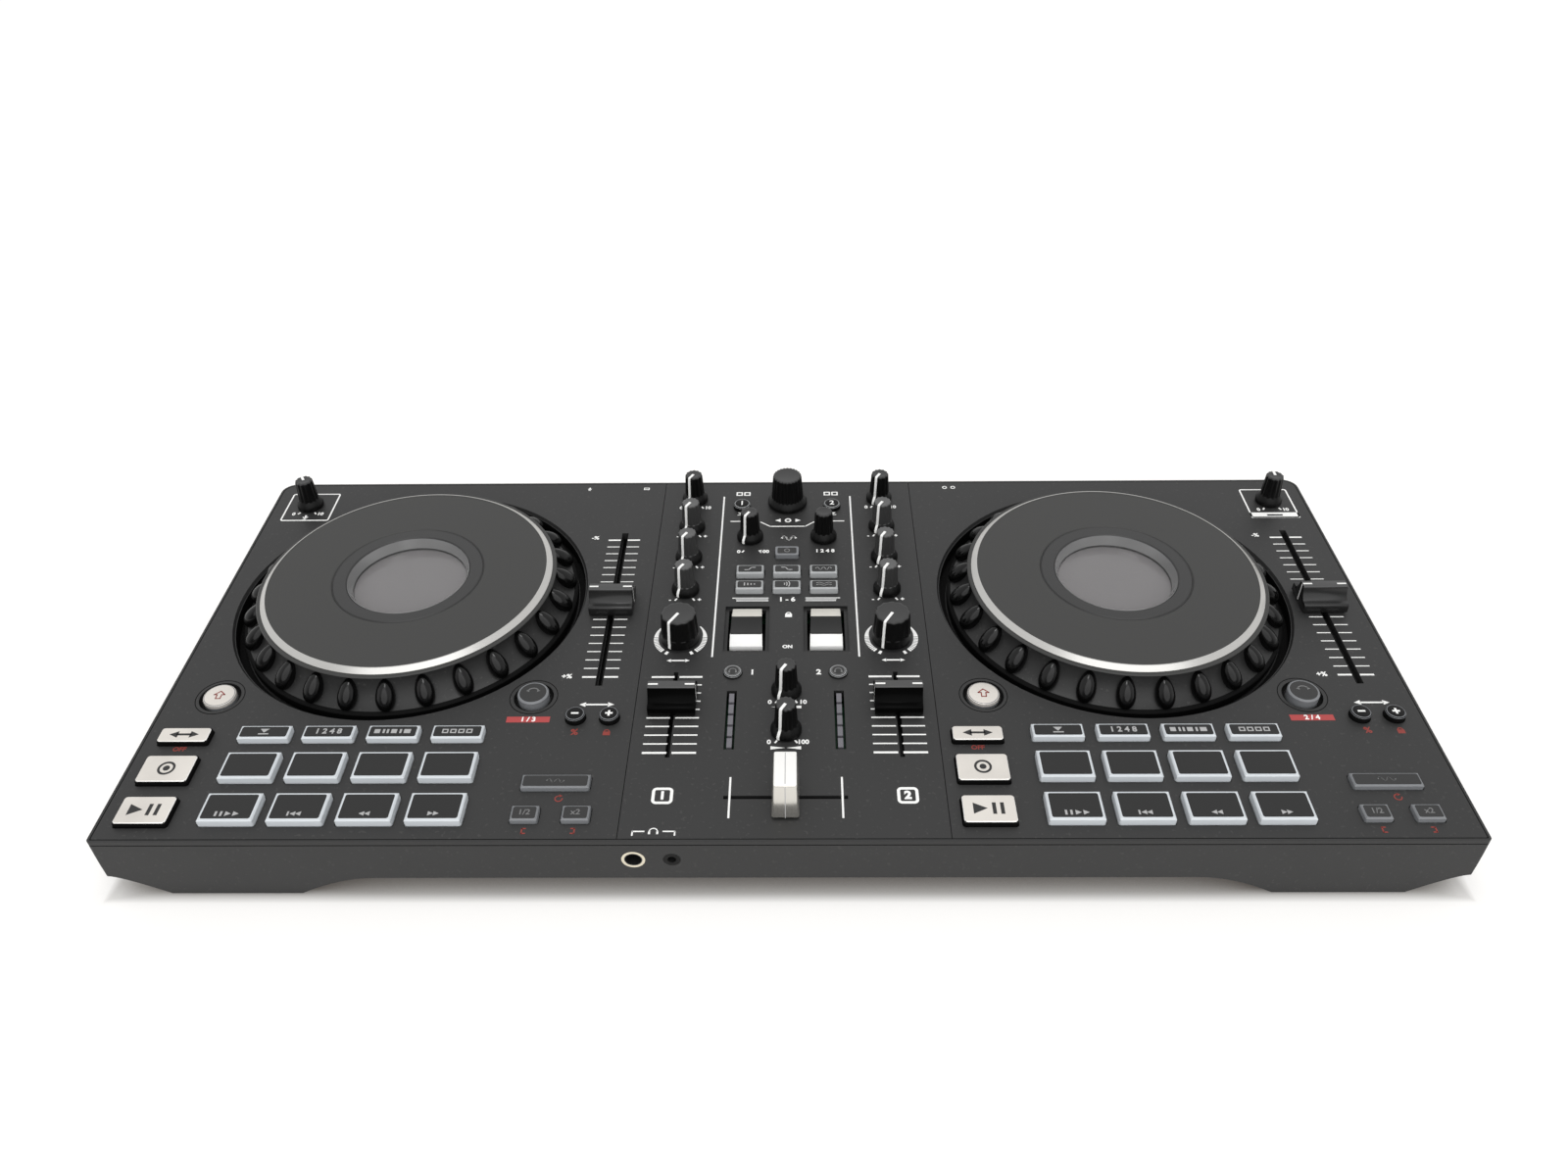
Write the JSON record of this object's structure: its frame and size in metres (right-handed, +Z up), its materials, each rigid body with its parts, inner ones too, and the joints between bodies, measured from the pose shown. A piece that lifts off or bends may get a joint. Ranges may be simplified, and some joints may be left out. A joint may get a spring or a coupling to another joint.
{
  "type": "dj controller",
  "caption": "Low two-deck DJ controller with jog wheels, hub displays, pads, faders, knobs, paddles and a crossfader, on a black case with moulded runners.",
  "frame": {"origin": "centre of the part's box on the plane of the rubber feet", "axes": "+X to the player's right, +Y away from the player, +Z up"},
  "size_m": [0.544, 0.2536, 0.0515],
  "materials": {
    "case_black": "fine moulded grain",
    "panel_black": "smooth satin, printed",
    "rubber_black": "matt",
    "screw_steel": "zinc plated",
    "board_green": "solder mask",
    "can_steel": "pressed tinplate",
    "switch_black": "moulded",
    "hub_black": "satin",
    "screen_grey": "unlit display",
    "window_clear": "clear, polished",
    "lamp_grey": "translucent, unlit",
    "jack_black": "moulded",
    "shell_steel": "pressed shell",
    "crossfader_silver": "satin silver paint",
    "effect_key_grey": "translucent grey frame, dark face",
    "knob_black": "soft-touch",
    "wheel_black": "satin moulding",
    "ring_silver": "satin silver",
    "disc_black": "fine satin",
    "cap_black": "satin",
    "paddle_white": "white ends, dark middle",
    "key_silver": "satin silver paint",
    "pad_grey": "translucent grey frame, dark face"
  },
  "bodies": {
    "chassis": {"bottom_case": "case_black", "top_case": "case_black", "face_plates": "panel_black", "rubber_feet": "rubber_black", "case_screws": "screw_steel", "circuit_boards": "board_green", "potentiometers": "can_steel", "fader_tracks": "can_steel", "tact_switches": "switch_black", "jog_hubs": "hub_black", "display_screens": "screen_grey", "display_windows": "window_clear", "level_meters": "lamp_grey", "audio_jacks": "jack_black", "usb_socket": "shell_steel", "phono_sockets": "jack_black"},
    "left_jog": {"left_jog_wheel": "wheel_black", "left_jog_ring": "ring_silver", "left_jog_disc": "disc_black"},
    "right_jog": {"right_jog_wheel": "wheel_black", "right_jog_ring": "ring_silver", "right_jog_disc": "disc_black"},
    "left_pitch_fader": {"left_pitch_cap": "cap_black"},
    "left_channel_fader": {"left_channel_cap": "cap_black"},
    "right_pitch_fader": {"right_pitch_cap": "cap_black"},
    "right_channel_fader": {"right_channel_cap": "cap_black"},
    "crossfader": {"crossfader_cap": "crossfader_silver"},
    "browse_push": {"browse_shaft": "can_steel"},
    "left_gain_knob": {"left_gain_knob": "knob_black"},
    "left_high_knob": {"left_high_knob": "knob_black"},
    "left_mid_knob": {"left_mid_knob": "knob_black"},
    "left_low_knob": {"left_low_knob": "knob_black"},
    "left_filter_knob": {"left_filter_knob": "knob_black"},
    "right_gain_knob": {"right_gain_knob": "knob_black"},
    "right_high_knob": {"right_high_knob": "knob_black"},
    "right_mid_knob": {"right_mid_knob": "knob_black"},
    "right_low_knob": {"right_low_knob": "knob_black"},
    "right_filter_knob": {"right_filter_knob": "knob_black"},
    "mic_knob": {"mic_knob": "knob_black"},
    "master_knob": {"master_knob": "knob_black"},
    "effect_mix_knob": {"effect_mix_knob": "knob_black"},
    "beats_knob": {"beats_knob": "knob_black"},
    "browse_knob": {"browse_knob": "knob_black"},
    "phones_gain_knob": {"phones_gain_knob": "knob_black"},
    "phones_mix_knob": {"phones_mix_knob": "knob_black"},
    "left_paddle": {"left_paddle": "paddle_white"},
    "right_paddle": {"right_paddle": "paddle_white"},
    "left_sync_key": {"left_sync_key": "key_silver"},
    "left_cue_key": {"left_cue_key": "key_silver"},
    "left_play_key": {"left_play_key": "key_silver"},
    "left_mode_keys": {"left_mode_keys": "pad_grey"},
    "left_pads": {"left_pads": "pad_grey"},
    "left_small_keys": {"left_small_keys": "pad_grey"},
    "right_sync_key": {"right_sync_key": "key_silver"},
    "right_cue_key": {"right_cue_key": "key_silver"},
    "right_play_key": {"right_play_key": "key_silver"},
    "right_mode_keys": {"right_mode_keys": "pad_grey"},
    "right_pads": {"right_pads": "pad_grey"},
    "right_small_keys": {"right_small_keys": "pad_grey"},
    "mixer_keys": {"mixer_keys": "effect_key_grey"}
  },
  "joints": [
    {"name": "left_jog_spin", "type": "hinge", "parent": "chassis", "child": "left_jog", "pos_m": [-0.179, 0.02225, 0.0335], "axis": [0, 0, 1], "continuous": true},
    {"name": "right_jog_spin", "type": "hinge", "parent": "chassis", "child": "right_jog", "pos_m": [0.1555, 0.02225, 0.0335], "axis": [0, 0, 1], "continuous": true},
    {"name": "left_pitch_slide", "type": "slide", "parent": "chassis", "child": "left_pitch_fader", "axis": [0, 1, 0], "range_m": [-0.05, 0.05]},
    {"name": "left_channel_slide", "type": "slide", "parent": "chassis", "child": "left_channel_fader", "axis": [0, 1, 0], "range_m": [-0.0295, 0.0155]},
    {"name": "right_pitch_slide", "type": "slide", "parent": "chassis", "child": "right_pitch_fader", "axis": [0, 1, 0], "range_m": [-0.05, 0.05]},
    {"name": "right_channel_slide", "type": "slide", "parent": "chassis", "child": "right_channel_fader", "axis": [0, 1, 0], "range_m": [-0.0295, 0.0155]},
    {"name": "crossfader_slide", "type": "slide", "parent": "chassis", "child": "crossfader", "axis": [1, 0, 0], "range_m": [-0.0225, 0.0225]},
    {"name": "browse_press", "type": "slide", "parent": "chassis", "child": "browse_push", "axis": [0, 0, -1], "range_m": [0, 0.0005], "stiffness_N_per_m": 1500, "springref_m": -0.001},
    {"name": "left_gain_turn", "type": "hinge", "parent": "chassis", "child": "left_gain_knob", "pos_m": [-0.0485, 0.10175, 0.0335], "axis": [0, 0, 1], "range_deg": [-300, 0]},
    {"name": "left_high_turn", "type": "hinge", "parent": "chassis", "child": "left_high_knob", "pos_m": [-0.0485, 0.07675, 0.0335], "axis": [0, 0, 1], "range_deg": [-300, 0]},
    {"name": "left_mid_turn", "type": "hinge", "parent": "chassis", "child": "left_mid_knob", "pos_m": [-0.0485, 0.05125, 0.0335], "axis": [0, 0, 1], "range_deg": [-300, 0]},
    {"name": "left_low_turn", "type": "hinge", "parent": "chassis", "child": "left_low_knob", "pos_m": [-0.0485, 0.02625, 0.0335], "axis": [0, 0, 1], "range_deg": [-300, 0]},
    {"name": "left_filter_turn", "type": "hinge", "parent": "chassis", "child": "left_filter_knob", "pos_m": [-0.0485, -0.00875, 0.0335], "axis": [0, 0, 1], "range_deg": [-300, 0]},
    {"name": "right_gain_turn", "type": "hinge", "parent": "chassis", "child": "right_gain_knob", "pos_m": [0.0485, 0.10175, 0.0335], "axis": [0, 0, 1], "range_deg": [-300, 0]},
    {"name": "right_high_turn", "type": "hinge", "parent": "chassis", "child": "right_high_knob", "pos_m": [0.0485, 0.07675, 0.0335], "axis": [0, 0, 1], "range_deg": [-300, 0]},
    {"name": "right_mid_turn", "type": "hinge", "parent": "chassis", "child": "right_mid_knob", "pos_m": [0.0485, 0.05125, 0.0335], "axis": [0, 0, 1], "range_deg": [-300, 0]},
    {"name": "right_low_turn", "type": "hinge", "parent": "chassis", "child": "right_low_knob", "pos_m": [0.0485, 0.02625, 0.0335], "axis": [0, 0, 1], "range_deg": [-300, 0]},
    {"name": "right_filter_turn", "type": "hinge", "parent": "chassis", "child": "right_filter_knob", "pos_m": [0.0485, -0.00875, 0.0335], "axis": [0, 0, 1], "range_deg": [-300, 0]},
    {"name": "mic_turn", "type": "hinge", "parent": "chassis", "child": "mic_knob", "pos_m": [-0.252, 0.09825, 0.0335], "axis": [0, 0, 1], "range_deg": [-180, 120]},
    {"name": "master_turn", "type": "hinge", "parent": "chassis", "child": "master_knob", "pos_m": [0.2523, 0.09825, 0.0335], "axis": [0, 0, 1], "range_deg": [-150, 150]},
    {"name": "effect_mix_turn", "type": "hinge", "parent": "chassis", "child": "effect_mix_knob", "pos_m": [-0.0185, 0.06825, 0.0335], "axis": [0, 0, 1], "range_deg": [-300, 0]},
    {"name": "beats_turn", "type": "hinge", "parent": "chassis", "child": "beats_knob", "pos_m": [0.0187, 0.06825, 0.0335], "axis": [0, 0, 1], "continuous": true},
    {"name": "browse_turn", "type": "hinge", "parent": "browse_push", "child": "browse_knob", "pos_m": [0.0003, 0.09825, 0.0335], "axis": [0, 0, 1], "continuous": true},
    {"name": "phones_gain_turn", "type": "hinge", "parent": "chassis", "child": "phones_gain_knob", "pos_m": [0.0005, -0.04375, 0.0335], "axis": [0, 0, 1], "range_deg": [-300, 0]},
    {"name": "phones_mix_turn", "type": "hinge", "parent": "chassis", "child": "phones_mix_knob", "pos_m": [0.0005, -0.06775, 0.0335], "axis": [0, 0, 1], "range_deg": [-300, 0]},
    {"name": "left_paddle_tilt", "type": "hinge", "parent": "chassis", "child": "left_paddle", "pos_m": [-0.0182, -0.0015, 0.0275], "axis": [1, 0, 0], "range_deg": [-10, 10], "stiffness_Nm_per_rad": 0.05},
    {"name": "right_paddle_tilt", "type": "hinge", "parent": "chassis", "child": "right_paddle", "pos_m": [0.0186, -0.0015, 0.0275], "axis": [1, 0, 0], "range_deg": [-10, 10], "stiffness_Nm_per_rad": 0.05},
    {"name": "left_sync_key_press", "type": "slide", "parent": "chassis", "child": "left_sync_key", "axis": [0, 0, -1], "range_m": [0, 0.001], "stiffness_N_per_m": 600, "springref_m": -0.0015},
    {"name": "left_cue_key_press", "type": "slide", "parent": "chassis", "child": "left_cue_key", "axis": [0, 0, -1], "range_m": [0, 0.001], "stiffness_N_per_m": 600, "springref_m": -0.0015},
    {"name": "left_play_key_press", "type": "slide", "parent": "chassis", "child": "left_play_key", "axis": [0, 0, -1], "range_m": [0, 0.001], "stiffness_N_per_m": 600, "springref_m": -0.0015},
    {"name": "left_mode_keys_press", "type": "slide", "parent": "chassis", "child": "left_mode_keys", "axis": [0, 0, -1], "range_m": [0, 0.001], "stiffness_N_per_m": 600, "springref_m": -0.0015},
    {"name": "left_pads_press", "type": "slide", "parent": "chassis", "child": "left_pads", "axis": [0, 0, -1], "range_m": [0, 0.001], "stiffness_N_per_m": 600, "springref_m": -0.0015},
    {"name": "left_small_keys_press", "type": "slide", "parent": "chassis", "child": "left_small_keys", "axis": [0, 0, -1], "range_m": [0, 0.001], "stiffness_N_per_m": 600, "springref_m": -0.0015},
    {"name": "right_sync_key_press", "type": "slide", "parent": "chassis", "child": "right_sync_key", "axis": [0, 0, -1], "range_m": [0, 0.001], "stiffness_N_per_m": 600, "springref_m": -0.0015},
    {"name": "right_cue_key_press", "type": "slide", "parent": "chassis", "child": "right_cue_key", "axis": [0, 0, -1], "range_m": [0, 0.001], "stiffness_N_per_m": 600, "springref_m": -0.0015},
    {"name": "right_play_key_press", "type": "slide", "parent": "chassis", "child": "right_play_key", "axis": [0, 0, -1], "range_m": [0, 0.001], "stiffness_N_per_m": 600, "springref_m": -0.0015},
    {"name": "right_mode_keys_press", "type": "slide", "parent": "chassis", "child": "right_mode_keys", "axis": [0, 0, -1], "range_m": [0, 0.001], "stiffness_N_per_m": 600, "springref_m": -0.0015},
    {"name": "right_pads_press", "type": "slide", "parent": "chassis", "child": "right_pads", "axis": [0, 0, -1], "range_m": [0, 0.001], "stiffness_N_per_m": 600, "springref_m": -0.0015},
    {"name": "right_small_keys_press", "type": "slide", "parent": "chassis", "child": "right_small_keys", "axis": [0, 0, -1], "range_m": [0, 0.001], "stiffness_N_per_m": 600, "springref_m": -0.0015},
    {"name": "mixer_keys_press", "type": "slide", "parent": "chassis", "child": "mixer_keys", "axis": [0, 0, -1], "range_m": [0, 0.001], "stiffness_N_per_m": 600, "springref_m": -0.0015}
  ]
}
